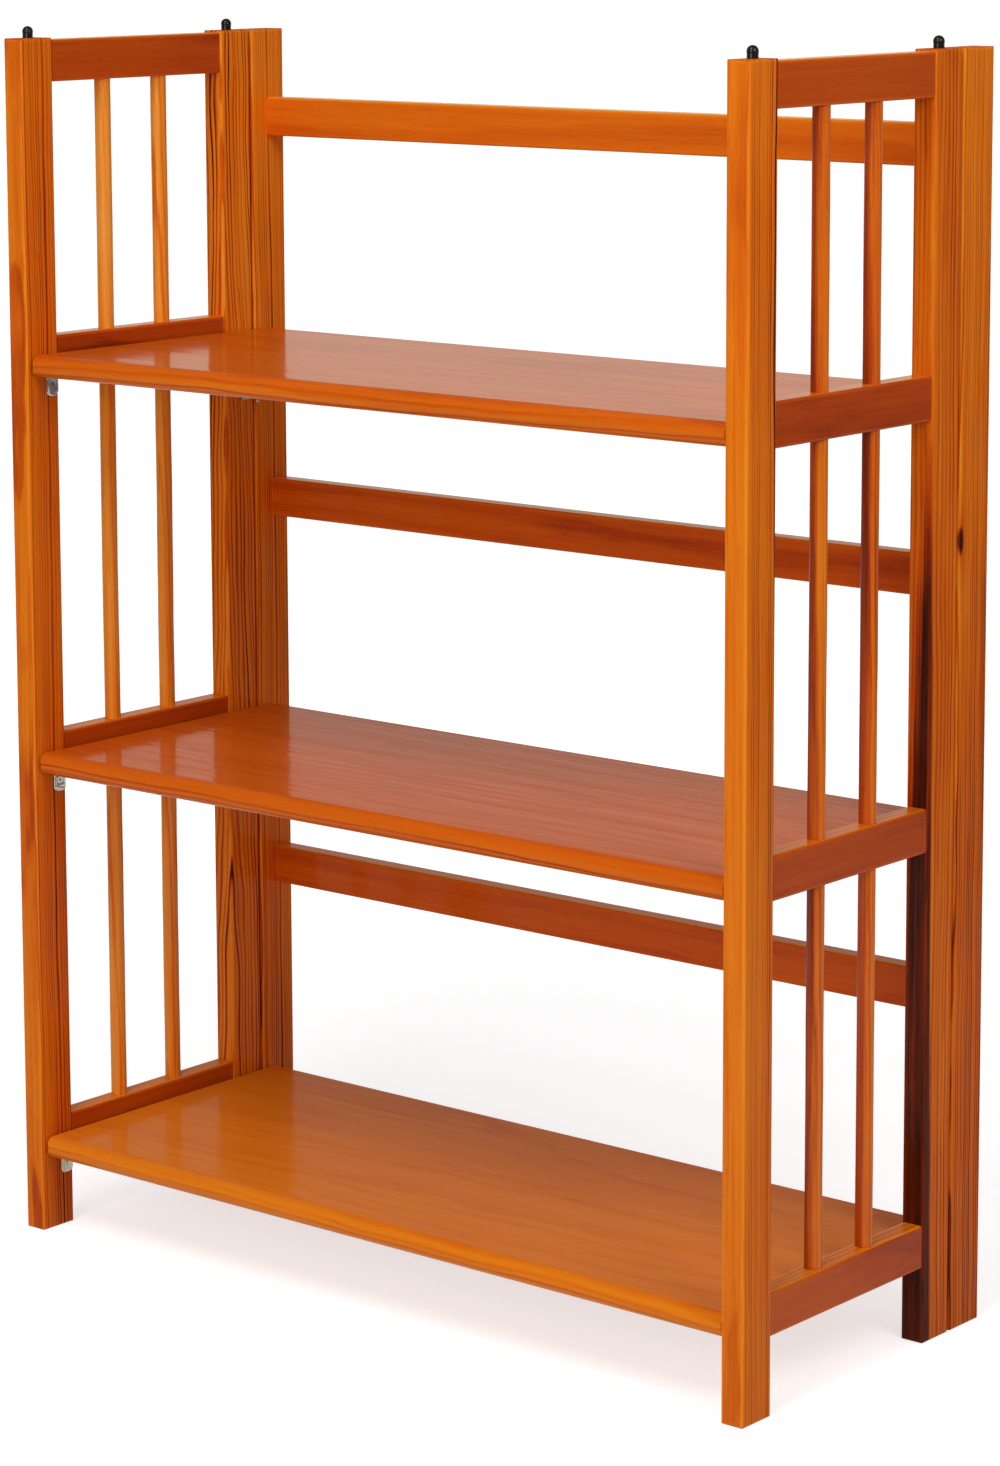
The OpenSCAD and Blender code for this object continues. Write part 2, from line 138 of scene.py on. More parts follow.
def bumped(tree, height, distance):
    """The normal of a surface whose height pattern is distance metres high."""
    made = add_node(tree, "ShaderNodeBump")
    made.inputs["Strength"].default_value = 1.0
    made.inputs["Distance"].default_value = distance
    tree.links.new(height, made.inputs["Height"])
    return made.outputs["Normal"]


def group_sockets(tree, inputs, outputs):
    """Makes a group's sockets from their names and kinds, and returns those of its two end nodes."""
    for direction, sockets in (("INPUT", inputs), ("OUTPUT", outputs)):
        for name, kind in sockets.items():
            tree.interface.new_socket(name=name, in_out=direction, socket_type="NodeSocket" + kind)
    return tree.nodes.new("NodeGroupInput").outputs, tree.nodes.new("NodeGroupOutput").inputs


def start_material(name):
    """A new material, its node tree, its main shader and the piece's own coordinates."""
    made = bpy.data.materials.new(name)
    made.use_nodes = True
    tree = made.node_tree
    place = tree.nodes.new("ShaderNodeTexCoord").outputs["Object"]
    return made, tree, tree.nodes["Principled BSDF"], place


def pushed_by_knot(tree, from_knot, size):
    """How far a knot pushes the rings aside, along the board's Y, in metres."""
    length_along = 0.022
    fade_beside = -80.0
    change_of_side = 150.0
    beside, along = add_node(tree, "ShaderNodeSeparateXYZ", from_knot).outputs[1:]
    which_side = number(tree, "MULTIPLY", beside, change_of_side)
    which_side = number(tree, "MAXIMUM", number(tree, "MINIMUM", which_side, 1.0), -1.0)
    fades_along = number(tree, "POWER", number(tree, "DIVIDE", along, length_along), 2.0)
    fades_along = number(tree, "EXPONENT", number(tree, "MULTIPLY", -1.0, fades_along))
    fades_beside = number(tree, "MULTIPLY", fade_beside, number(tree, "ABSOLUTE", beside))
    fades_beside = number(tree, "EXPONENT", fades_beside)
    reach = number(tree, "MULTIPLY", fades_along, fades_beside)
    reach = number(tree, "MULTIPLY", reach, which_side)
    return number(tree, "MULTIPLY", reach, number(tree, "MULTIPLY", size, -1.0))


def edge_and_end(tree, body, given, streak):
    """Where the stain is lighter along the board's edges, worn thin there and with a painted highlight on
    the rounded arrises, and where its end grain drank more.
    """
    edge_width = 0.0022
    edge_waver = -0.0016
    end_full = 0.0004
    end_gone = 0.0016
    from_middle = vector(tree, "SUBTRACT", body, given["Middle"])
    inside = vector(tree, "SUBTRACT", given["Half size"], vector(tree, "ABSOLUTE", from_middle))
    a, b, c = add_node(tree, "ShaderNodeSeparateXYZ", inside).outputs
    # the second smallest distance to a face is the distance to the nearest edge
    lesser = number(tree, "MINIMUM", a, b)
    greater = number(tree, "MAXIMUM", a, b)
    to_edge = number(tree, "MAXIMUM", lesser, number(tree, "MINIMUM", greater, c))
    to_edge = number(tree, "MULTIPLY_ADD", streak, edge_waver, to_edge)
    to_end = vector(tree, "DOT_PRODUCT", inside, given["Along grain"])
    return fade(tree, to_edge, 0.0, edge_width), fade(tree, to_end, end_full, end_gone)


def knot_marks(tree, from_knot, size):
    """A knot's oval core, the halo round it, and the dark streak that runs up and down from it."""
    oval = vector(tree, "LENGTH", vector(tree, "MULTIPLY", from_knot, (0.6, 1.0, 0.30)))
    oval = number(tree, "DIVIDE", oval, number(tree, "ADD", size, 0.00001))
    streak = vector(tree, "LENGTH", vector(tree, "MULTIPLY", from_knot, (0.0, 420.0, 34.0)))
    return fade(tree, oval, 0.35, 0.75), fade(tree, oval, 0.4, 3.2), fade(tree, streak, 0.1, 1.0)


def late_wood_in_rings(tree, from_pith, ring_width):
    """How much of the dark late wood is at a distance from the pith."""
    unevenness = 1.4
    change_per_ring = 0.43
    palest_year = 0.3
    turn = number(tree, "DIVIDE", from_pith, ring_width)
    # some years' rings are wider, and some darker, than others
    uneven = number(tree, "MULTIPLY", turn, change_per_ring)
    uneven = add_node(tree, "ShaderNodeTexNoise", None, uneven, 1.0, 1.0,
                      noise_dimensions="1D").outputs["Fac"]
    turn = number(tree, "MULTIPLY_ADD", uneven, unevenness, turn)
    year = add_node(tree, "ShaderNodeTexWhiteNoise", None, number(tree, "FLOOR", turn),
                    noise_dimensions="1D").outputs["Value"]
    darkness = number(tree, "MULTIPLY_ADD", year, 1.0, palest_year)
    return number(tree, "MULTIPLY", ramp(tree, number(tree, "FRACT", turn), RING_STEPS), darkness)


def past_heart_plane(tree, body, given, streak, cloud):
    """A zone past a wavering plane: heart wood, a flank of dense rings, painted shade on the right spindles,
    a painted sheen along the rails' tops and painted light under the shelves' front edges.
    """
    blur = 1.6
    past = vector(tree, "SUBTRACT", body, given["Heart at"])
    past = vector(tree, "DOT_PRODUCT", past, given["Heart slope"])
    for waver, weight in ((streak, 2.2), (cloud, 1.4)):
        past = number(tree, "MULTIPLY_ADD", number(tree, "SUBTRACT", waver, 0.5), weight, past)
    return ease(tree, past, 0.0, blur)


def make_pine_grain():
    """Growth rings about a pith on the place's own Z axis, under stain and lacquer."""
    tree = bpy.data.node_groups.new("pine_grain", "ShaderNodeTree")
    given, result = group_sockets(
        tree,
        {"Place": "Vector", "Ring width": "Float", "Ring strength": "Float", "Wander": "Float",
         "Stain": "Float", "Along grain": "Vector", "Middle": "Vector", "Half size": "Vector",
         "Heart at": "Vector", "Heart slope": "Vector", "Heart depth": "Float", "Heart rings": "Float",
         "Knot at": "Vector", "Knot size": "Float", "Figure": "Float", "Ripple": "Float"},
        {"Colour": "Color", "Roughness": "Float", "Relief": "Float", "Lacquer": "Float"})
    place = given["Place"]
    body = tree.nodes.new("ShaderNodeTexCoord").outputs["Object"]
    from_knot = vector(tree, "SUBTRACT", body, given["Knot at"])
    knot_core, knot_halo, knot_streak = knot_marks(tree, from_knot, given["Knot size"])

    # the pith wavers slowly and quickly along the board, and a knot pushes the rings aside
    slow = drift(tree, place, (9.0, 9.0, 1.7), (1.0, 1.0, 0.0))
    quick = drift(tree, place, (60.0, 60.0, 14.0), (0.24, 0.24, 0.0))
    wavy = vector(tree, "ADD", place, scaled(tree, vector(tree, "ADD", slow, quick), given["Wander"]))
    from_pith = vector(tree, "LENGTH", vector(tree, "MULTIPLY", wavy, (1.0, 1.0, 0.0)))
    from_pith = number(tree, "ADD", from_pith, pushed_by_knot(tree, from_knot, given["Knot size"]))
    late_wood = late_wood_in_rings(tree, from_pith, given["Ring width"])

    # fibres, streaks, resin flecks and the cloudiness of the stain
    fibre = stretched_noise(tree, place, (1500.0, 1500.0, 22.0), 2.0)
    streak = stretched_noise(tree, wavy, (260.0, 260.0, 3.2), 3.0)
    cloud = stretched_noise(tree, place, (26.0, 26.0, 5.0), 3.0)
    pores = ease(tree, stretched_noise(tree, wavy, (1100.0, 1100.0, 9.0), 1.0), 0.56, 0.74)
    fleck = ease(tree, stretched_noise(tree, place, (700.0, 700.0, 70.0), 1.0), 0.70, 0.78)
    edge, end_grain = edge_and_end(tree, body, given, streak)
    # past the plane: heart wood on some boards; painted shade on the right spindles, a painted sheen on the
    # rails' tops and painted light under the shelves' front edges
    heart = past_heart_plane(tree, body, given, streak, cloud)

    # the depth of stain: the board's own, its rings, its figure, and what lies over them
    darkest_ring = 0.74
    strength = ease(tree, cloud, 0.25, 0.75, 0.6, 1.25)
    strength = number(tree, "MULTIPLY_ADD", heart, given["Heart rings"], strength)
    strength = number(tree, "MULTIPLY", given["Ring strength"], strength)
    strength = number(tree, "MINIMUM", strength, darkest_ring)
    depth = number(tree, "MULTIPLY_ADD", late_wood, strength, given["Stain"])
    patchy = number(tree, "MULTIPLY_ADD", fibre, 0.10, -0.05)
    for amount, weight in ((streak, 0.26), (cloud, 0.24)):
        off_middle = number(tree, "MULTIPLY", number(tree, "SUBTRACT", amount, 0.5), weight)
        patchy = number(tree, "MULTIPLY_ADD", off_middle, given["Figure"], patchy)
    patchy = number(tree, "MULTIPLY_ADD", number(tree, "MULTIPLY", pores, given["Figure"]), 0.13, patchy)
    depth = number(tree, "ADD", depth, patchy)
    # the edges are lighter, as worn stain and a painted highlight on the arrises
    for amount, weight in ((edge, -0.10), (end_grain, 0.16), (heart, given["Heart depth"]), (fleck, 0.10),
                           (knot_halo, 0.10), (knot_streak, 0.22), (knot_core, 0.55)):
        depth = number(tree, "MULTIPLY_ADD", amount, weight, depth)
    tree.links.new(ramp(tree, depth, STAIN_STEPS), result["Colour"])

    rough = number(tree, "MULTIPLY_ADD", fibre, 0.12, 0.38)
    tree.links.new(number(tree, "MULTIPLY_ADD", end_grain, 0.18, rough), result["Roughness"])

    # heights in millimetres: of the wood, and of the lacquer, which levels out over it
    relief = number(tree, "MULTIPLY_ADD", late_wood, 0.020, number(tree, "MULTIPLY", fibre, 0.020))
    tree.links.new(number(tree, "MULTIPLY_ADD", knot_core, -0.12, relief), result["Relief"])
    broad_ripple = stretched_noise(tree, place, (50.0, 50.0, 5.0), 1.0)
    fine_ripple = stretched_noise(tree, place, (150.0, 150.0, 7.0), 1.0)
    ripple = number(tree, "MULTIPLY_ADD", fine_ripple, 0.5, broad_ripple)
    through = number(tree, "MULTIPLY", late_wood, 0.005)
    tree.links.new(number(tree, "MULTIPLY_ADD", ripple, given["Ripple"], through), result["Lacquer"])
    return tree


pine_grain = make_pine_grain()
MILLIMETRE = 0.001
# How the pith, which is the pattern's own Z axis, is turned to lie along a board's grain
GRAIN_TURNS = {"X": (0.0, math.pi / 2, 0.0), "Y": (-math.pi / 2, 0.0, 0.0), "Z": (0.0, 0.0, 0.0)}


def pine(name, box, grain, pith, ring_width, stain, rings, wander=0.012, lean=(0.0, 0.0, 0.0),
         heart_at=(0.0, 0.0, 0.0), heart_slope=(0.0, 0.0, -1000.0), heart_depth=0.0, heart_rings=0.0,
         knot_at=(0.0, 0.0, 9.0), knot_size=0.0, figure=1.0, ripple=0.06,
         coat=0.10, coat_roughness=0.16, coat_ior=1.5, own=None):
    """Stained pine for the board in box, with its grain along one axis and its pith at a point.

    stain is its depth and rings how much darker the late wood is; wander is how far the rings
    waver, in metres, and lean how far the grain runs out, in degrees. Past a plane lies a zone,
    heart wood on some pieces and painted shade, sheen and light on others, darker by its depth
    (lighter where that is below 0) and with rings stronger by heart_rings. figure is the strength of
    streaks and clouds, and ripple the height of the lacquer's waves, in millimetres. own names
    an attribute that gives each of several pieces in one mesh a number from 0 to 1."""
    low, high = (Vector(corner) for corner in box)
    made, tree, lacquered, body = start_material(name)
    turn = [g + math.radians(d) for g, d in zip(GRAIN_TURNS[grain], lean)]
    place = add_node(tree, "ShaderNodeMapping", body, pith, turn, vector_type="TEXTURE").outputs[0]
    if own:
        # each piece is cut from another stretch of the wood, and took a little more or less stain
        number_of = add_node(tree, "ShaderNodeAttribute", attribute_name=own).outputs["Fac"]
        place = vector(tree, "ADD", place, scaled(tree, (0.05, 0.11, 1.7), number_of))
        stain = number(tree, "MULTIPLY_ADD", number_of, 0.10, stain - 0.05)
    along = [1.0 if axis == grain else 0.0 for axis in "XYZ"]
    middle = (low + high) / 2
    half_size = (high - low) / 2
    grained = add_node(
        tree, "ShaderNodeGroup", place, ring_width, rings, wander, stain, along, middle, half_size,
        heart_at, heart_slope, heart_depth, heart_rings, knot_at, knot_size, figure, ripple,
        node_tree=pine_grain)
    lacquered.inputs["Specular IOR Level"].default_value = 0.03
    lacquered.inputs["Coat Weight"].default_value = coat
    lacquered.inputs["Coat Roughness"].default_value = coat_roughness
    lacquered.inputs["Coat IOR"].default_value = coat_ior
    tree.links.new(grained.outputs["Colour"], lacquered.inputs["Base Color"])
    tree.links.new(grained.outputs["Roughness"], lacquered.inputs["Roughness"])
    tree.links.new(bumped(tree, grained.outputs["Relief"], MILLIMETRE), lacquered.inputs["Normal"])
    tree.links.new(bumped(tree, grained.outputs["Lacquer"], MILLIMETRE), lacquered.inputs["Coat Normal"])
    return made


def finish_part(name, material):
    """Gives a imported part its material."""
    mesh = parts[name].data
    mesh.materials.clear()
    mesh.materials.append(material)


def finish_board(name, grain, **wood):
    """Gives a packed board a pine of its own."""
    finish_part(name, pine(f"pine_{name}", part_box(name), grain, **wood))


finish_board("left_stile", "Z", pith=(-0.30, 0.02, 0.0), ring_width=0.0031, stain=0.21, rings=0.44,
             lean=(0.3, 0.0, 0.0))
finish_board("right_stile", "Z", pith=(0.37, 0.035, 0.2), ring_width=0.0031, stain=0.23, rings=0.36,
             heart_at=(0.349, 0.120, 0.60), heart_slope=(0.0, 40.0, -4.0), heart_depth=0.15,
             heart_rings=0.5, knot_at=(0.349, 0.1105, 0.582), knot_size=0.0050)


# ---- Back rails ----
# Three flat pine rails that hold the stiles apart and stop books at the back, butted between
# them and doweled. Their lacquer is glossier, and their tops are lighter: a painted sheen of the pale
# surround.

# How far below a rail's top the painted sheen starts, in metres, and how steeply it grows, per metre
RUBBED_BAND = 0.0007
RUBBED_SLOPE = 2400.0


def finish_rail(name, grain, rubbed, **wood):
    """Gives a packed rail a glossier pine, with a painted sheen that lightens its stain along the top by the
    given amount.
    """
    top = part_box(name)[1].z
    # the band along the top is a painted sheen, lighter where the lacquer mirrors the pale surround
    finish_board(name, grain, heart_at=(0.0, 0.0, top - RUBBED_BAND), heart_slope=(0.0, 0.0, RUBBED_SLOPE),
                 heart_depth=-rubbed, coat=0.50, coat_roughness=0.12, coat_ior=1.25, **wood)


for name, pith, ring_width, stain, rings in (
        ("bottom_back_rail", (0.0, 0.50, 0.18), 0.006, 0.40, 0.16),
        ("middle_back_rail", (0.3, 0.52, 0.48), 0.006, 0.43, 0.18),
        ("top_back_rail", (0.7, 0.50, 0.80), 0.007, 0.32, 0.08)):
    finish_rail(name, "X", rubbed=0.30, pith=pith, ring_width=ring_width, stain=stain, rings=rings,
                figure=0.6)


# ---- Dowels ----
# Bare beech pegs, glued two into each end of every rail. They sit out of sight in drilled
# holes and keep the pale colour of wood that no stain has reached.
def make_beech():
    made, tree, lathed, place = start_material("bare_beech")
    flecks = stretched_noise(tree, place, (90.0, 90.0, 700.0), 3.0)
    colour = ramp(tree, flecks, [(0.3, (0.50, 0.31, 0.16)), (0.5, (0.66, 0.45, 0.26)),
                                 (0.75, (0.74, 0.54, 0.34))])
    tree.links.new(colour, lathed.inputs["Base Color"])
    tree.links.new(number(tree, "MULTIPLY_ADD", flecks, 0.2, 0.5), lathed.inputs["Roughness"])
    tree.links.new(bumped(tree, flecks, 0.0001), lathed.inputs["Normal"])
    return made


beech = make_beech()
for name in ("back_rail_dowels", "left_side_rail_dowels", "right_side_rail_dowels"):
    finish_part(name, beech)


# ---- Folding hinges and shelf pivots ----
# Pressed steel butt hinges with turned, ball-tipped pins, and plain steel rods that the
# shelves turn on. All are zinc plated: bright, a little warm, and finely brushed.
SIDES = (("left", -1), ("right", 1))


def make_zinc_steel():
    made, tree, plated, place = start_material("zinc_steel")
    plated.inputs["Metallic"].default_value = 1.0
    bloom = stretched_noise(tree, place, (160.0, 160.0, 160.0), 3.0)
    brushed = stretched_noise(tree, place, (3000.0, 3000.0, 260.0), 2.0)
    colour = ramp(tree, bloom, [(0.3, (0.34, 0.31, 0.29)), (0.55, (0.50, 0.48, 0.45)),
                                (0.8, (0.64, 0.62, 0.59))])
    tree.links.new(colour, plated.inputs["Base Color"])
    dull = number(tree, "MULTIPLY_ADD", bloom, 0.10, 0.03)
    tree.links.new(number(tree, "MULTIPLY_ADD", brushed, 0.10, dull), plated.inputs["Roughness"])
    tree.links.new(bumped(tree, brushed, 0.00002), plated.inputs["Normal"])
    return made


zinc_steel = make_zinc_steel()
finish_part("shelf_pivot_pins", zinc_steel)
for side, _ in SIDES:
    for name in ("stile_hinge_leaves", "leg_hinge_leaves", "hinge_pins"):
        finish_part(f"{side}_{name}", zinc_steel)


# ---- Legs ----
# Four square-edged pine legs. The front ones turn a smooth, tangential face forwards and
# show their rings as straight lines at the sides; the rear ones are cut nearer the heart.
finish_board("left_front_leg", "Z", pith=(-0.339, -0.25, 0.0), ring_width=0.0034, stain=0.28, rings=0.34,
             heart_at=(-0.339, -0.121, 0.40), heart_slope=(0.0, 90.0, -4.0), heart_depth=0.10,
             heart_rings=0.8)
finish_board("right_front_leg", "Z", pith=(0.338, -0.24, 0.5), ring_width=0.0034, stain=0.25, rings=0.28,
             heart_at=(0.349, -0.126, 0.5), heart_slope=(0.0, 150.0, 0.6), heart_depth=0.02,
             heart_rings=1.3)
finish_board("left_rear_leg", "Z", pith=(-0.29, 0.03, 0.0), ring_width=0.0034, stain=0.19, rings=0.66,
             wander=0.024, lean=(1.2, 0.5, 0.0))
# this one turns much darker on its front face, most towards the foot and its outer side
finish_board("right_rear_leg", "Z", pith=(0.40, 0.03, 0.3), ring_width=0.0034, stain=0.31, rings=0.34,
             heart_at=(0.344, 0.0730, 0.70), heart_slope=(110.0, -450.0, -5.5), heart_depth=0.59,
             heart_rings=-0.8, figure=1.3)


# ---- Side rails ----
# Four short pine rails in each side frame, doweled between the legs and a little thinner.
# They took more stain than the legs, and a painted sheen lightens it along their tops.
for side, across in SIDES:
    for n, (rail, stain) in enumerate((("lower", 0.50), ("middle", 0.57), ("upper", 0.58), ("top", 0.54))):
        name = f"{side}_{rail}_rail"
        low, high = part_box(name)
        finish_rail(name, "Y", rubbed=0.36, pith=(across * 0.80, 0.1 * n, (low.z + high.z) / 2),
                    ring_width=0.0062, stain=stain, rings=0.14, lean=(0.0, 0.0, 0.6 * n - 1.0), figure=0.45)


# ---- Spindles ----
# Two round pine spindles in each bay of the side frames, turned by hand feed, so that none is
# quite straight or even, and glued into the rails. The left ones took the least stain.
def add_object(name, data):
    """A new object in the scene."""
    made = bpy.data.objects.new(name, data)
    bpy.context.scene.collection.objects.link(made)
    return made


def random_number(tree, seed, highest=1.0):
    """A number of its own, from 0 to highest, for each curve or point."""
    drawn = add_node(tree, "FunctionNodeRandomValue", data_type="FLOAT")
    # the node has sockets for every kind of value: these two are the ones for decimal numbers
    drawn.inputs[3].default_value = highest
    tree.links.new(seed, drawn.inputs["Seed"])
    return drawn.outputs[1]


def swept(tree, path, section, scale=None):
    """A closed solid swept along a curve, made thicker or thinner by scale."""
    solid = add_node(tree, "GeometryNodeCurveToMesh", path, section)
    solid.inputs["Fill Caps"].default_value = True
    if scale is not None:
        tree.links.new(scale, solid.inputs["Scale"])
    return solid.outputs[0]


def give_solid(tree, shape, material, result):
    """Ends a tree: makes its shape plain mesh in one material."""
    solid = add_node(tree, "GeometryNodeRealizeInstances", shape)
    finished = add_node(tree, "GeometryNodeSetMaterial", solid.outputs[0])
    tree.links.new(material, finished.inputs["Material"])
    tree.links.new(finished.outputs[0], result)


def make_spindle_tree():
    """A turned spindle along each edge of the start mesh."""
    sides = 40
    tree = bpy.data.node_groups.new("turned_spindles", "GeometryNodeTree")
    given, result = group_sockets(
        tree,
        {"Centre lines": "Geometry", "Diameter": "Float", "Step": "Float", "Bow": "Float",
         "Waist": "Float", "Seed": "Int", "Wood": "Material"},
        {"Spindles": "Geometry"})
    lines = add_node(tree, "GeometryNodeMeshToCurve", given["Centre lines"]).outputs[0]
    lines = add_node(tree, "GeometryNodeStoreNamedAttribute", lines, None, "spindle", data_type="FLOAT",
                     domain="CURVE")
    tree.links.new(random_number(tree, given["Seed"]), lines.inputs["Value"])
    lines = add_node(tree, "GeometryNodeResampleCurve", lines.outputs[0], mode="LENGTH")
    tree.links.new(given["Step"], lines.inputs["Length"])
    # free in the middle, true at both ends where it enters the rails
    along = add_node(tree, "GeometryNodeSplineParameter").outputs["Factor"]
    free = number(tree, "SINE", number(tree, "MULTIPLY", along, math.pi))
    here = add_node(tree, "GeometryNodeInputPosition").outputs[0]
    sway = drift(tree, here, (23.0, 23.0, 11.0), (1.0, 1.0, 0.0))
    sway = scaled(tree, sway, number(tree, "MULTIPLY", given["Bow"], free))
    bent = add_node(tree, "GeometryNodeSetPosition", lines.outputs[0])
    tree.links.new(sway, bent.inputs["Offset"])
    swell = number(tree, "SUBTRACT", stretched_noise(tree, here, (31.0, 31.0, 19.0), 2.0), 0.5)
    thickness = number(tree, "MULTIPLY_ADD", number(tree, "MULTIPLY", swell, free), given["Waist"], 1.0)
    section = add_node(tree, "GeometryNodeCurvePrimitiveCircle", sides)
    tree.links.new(number(tree, "MULTIPLY", given["Diameter"], 0.5), section.inputs["Radius"])
    turned = swept(tree, bent.outputs[0], section.outputs[0], thickness)
    give_solid(tree, turned, given["Wood"], result["Spindles"])
    return tree


def made_by(tree, name, start, **sizes):
    """The plain mesh that a tree makes from a start mesh, as an object of its own."""
    maker = add_object(name + "_start", start)
    steps = maker.modifiers.new("steps", "NODES")
    steps.node_group = tree
    for socket in tree.interface.items_tree:
        size = socket.name.lower().replace(" ", "_")
        if socket.in_out == "INPUT" and size in sizes:
            steps[socket.identifier] = sizes[size]
    graph = bpy.context.evaluated_depsgraph_get()
    mesh = bpy.data.meshes.new_from_object(
        maker.evaluated_get(graph), preserve_all_data_layers=True, depsgraph=graph)
    bpy.data.objects.remove(maker)
    mesh.name = name
    return add_object(name, mesh)


def smooth_round_faces(mesh, limit=35.0):
    """Shades curved faces smooth and keeps edges sharper than the limit."""
    mesh.shade_smooth()
    mesh.set_sharp_from_angle(angle=math.radians(limit))


spindle_tree = make_spindle_tree()
SPINDLES = [(bay, row) for bay in ("lower", "middle", "upper") for row in ("front", "rear")]
# A round piece has no board's edges or ends, so its box is put far away
NO_EDGES = ((-9.0, -9.0, -9.0), (9.0, 9.0, 9.0))
# The right spindles carry painted shade: a deeper stain, deepest on the side that faces the shelves
SPINDLE_STAINS = {
    "left": {"stain": 0.05},
    "right": {"stain": 0.29, "heart_at": (0.345, 0.0, 0.0), "heart_slope": (-300.0, 0.0, 0.0),
              "heart_depth": 0.26},
}
for seed, (side, across) in enumerate(SIDES):
    names = [f"{side}_{bay}_{row}_spindle" for bay, row in SPINDLES]
    ends = []
    for low, high in map(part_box, names):
        middle = (low + high) / 2
        ends += [(middle.x, middle.y, low.z), (middle.x, middle.y, high.z)]
    centre_lines = bpy.data.meshes.new("centre_lines")
    centre_lines.from_pydata(ends, [(2 * n, 2 * n + 1) for n in range(len(names))], [])
    wood = pine(f"pine_{side}_spindles", NO_EDGES, "Z", pith=(across * 0.31, -0.26, 0.0), ring_width=0.0046,
                rings=0.20, lean=(0.9, 0.6, 0.0), coat=0.36, coat_roughness=0.19, own="spindle",
                **SPINDLE_STAINS[side])
    low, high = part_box(names[0])
    spindles = made_by(spindle_tree, f"{side}_spindles", centre_lines, diameter=high.x - low.x, step=0.006,
                       bow=0.0011, waist=0.05, seed=seed, wood=wood)
    smooth_round_faces(spindles.data)
    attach(spindles, f"{side}_side")
    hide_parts(*names)


# ---- Stacking pins ----
# Turned steel pins with a ball head, pressed into the leg tops and coated gloss black. The
# sockets in the feet of a second bookcase fit over them.
def make_black_enamel():
    made, tree, enamel, place = start_material("black_enamel")
    peel = stretched_noise(tree, place, (900.0, 900.0, 900.0), 2.0)
    colour = ramp(tree, peel, [(0.3, (0.004, 0.004, 0.005)), (0.7, (0.009, 0.008, 0.008))])
    tree.links.new(colour, enamel.inputs["Base Color"])
    tree.links.new(number(tree, "MULTIPLY_ADD", peel, 0.12, 0.12), enamel.inputs["Roughness"])
    enamel.inputs["Specular IOR Level"].default_value = 0.2
    enamel.inputs["Coat Weight"].default_value = 0.35
    enamel.inputs["Coat Roughness"].default_value = 0.06
    tree.links.new(bumped(tree, peel, 0.00003), enamel.inputs["Normal"])
    return made


black_enamel = make_black_enamel()
for side, _ in SIDES:
    for row in ("front", "rear"):
        finish_part(f"{side}_{row}_stacking_pin", black_enamel)


# ---- Shelf brackets ----
# Small bent steel angles, one screw each, that carry the shelves' front corners. They were
# stamped and tumbled before plating, which rounded their edges.
TUMBLED_RADIUS = 0.00045


def tumbled(name, radius):
    """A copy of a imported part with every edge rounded, which replaces it."""
    shape = bmesh.new()
    shape.from_mesh(parts[name].data)
    bmesh.ops.remove_doubles(shape, verts=shape.verts, dist=1e-6)
    bmesh.ops.dissolve_limit(shape, angle_limit=math.radians(1.0), verts=shape.verts, edges=shape.edges)
    edges = [edge for edge in shape.edges if edge.calc_face_angle(0.0) > math.radians(40.0)]
    bmesh.ops.bevel(shape, geom=edges, offset=radius, segments=2, profile=0.5, affect="EDGES")
    bmesh.ops.recalc_face_normals(shape, faces=shape.faces)
    mesh = bpy.data.meshes.new(name + "_tumbled")
    shape.to_mesh(mesh)
    shape.free()
    smooth_round_faces(mesh, 50.0)
    return add_object(name + "_tumbled", mesh)


for side, _ in SIDES:
    for shelf in ("bottom", "middle", "top"):
        name = f"{side}_{shelf}_bracket"
        bracket = tumbled(name, TUMBLED_RADIUS)
        bracket.data.materials.append(zinc_steel)
        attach(bracket, f"{side}_side")
        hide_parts(name)


# ---- Screws ----
# Thirty like countersunk steel screws with a cross recess: two through each hinge leaf and
# one through each bracket. Each was driven to its own angle.
SCREW_SIZES = {
    "head_radius": 0.003,
    "shank_radius": 0.0015,
    "length": 0.013,
    "point_length": 0.003,
    "recess_width": 0.0009,
    "recess_depth": 0.0013,
    "thread_pitch": 0.0013,
    "thread_height": 0.0004,
}
# Heights in a hinge and a bracket, down from the underside of the shelf above
HINGE_MIDDLE = 0.0235
LEAF_SCREW_PITCH = 0.018
BRACKET_SCREW_DROP = 0.007


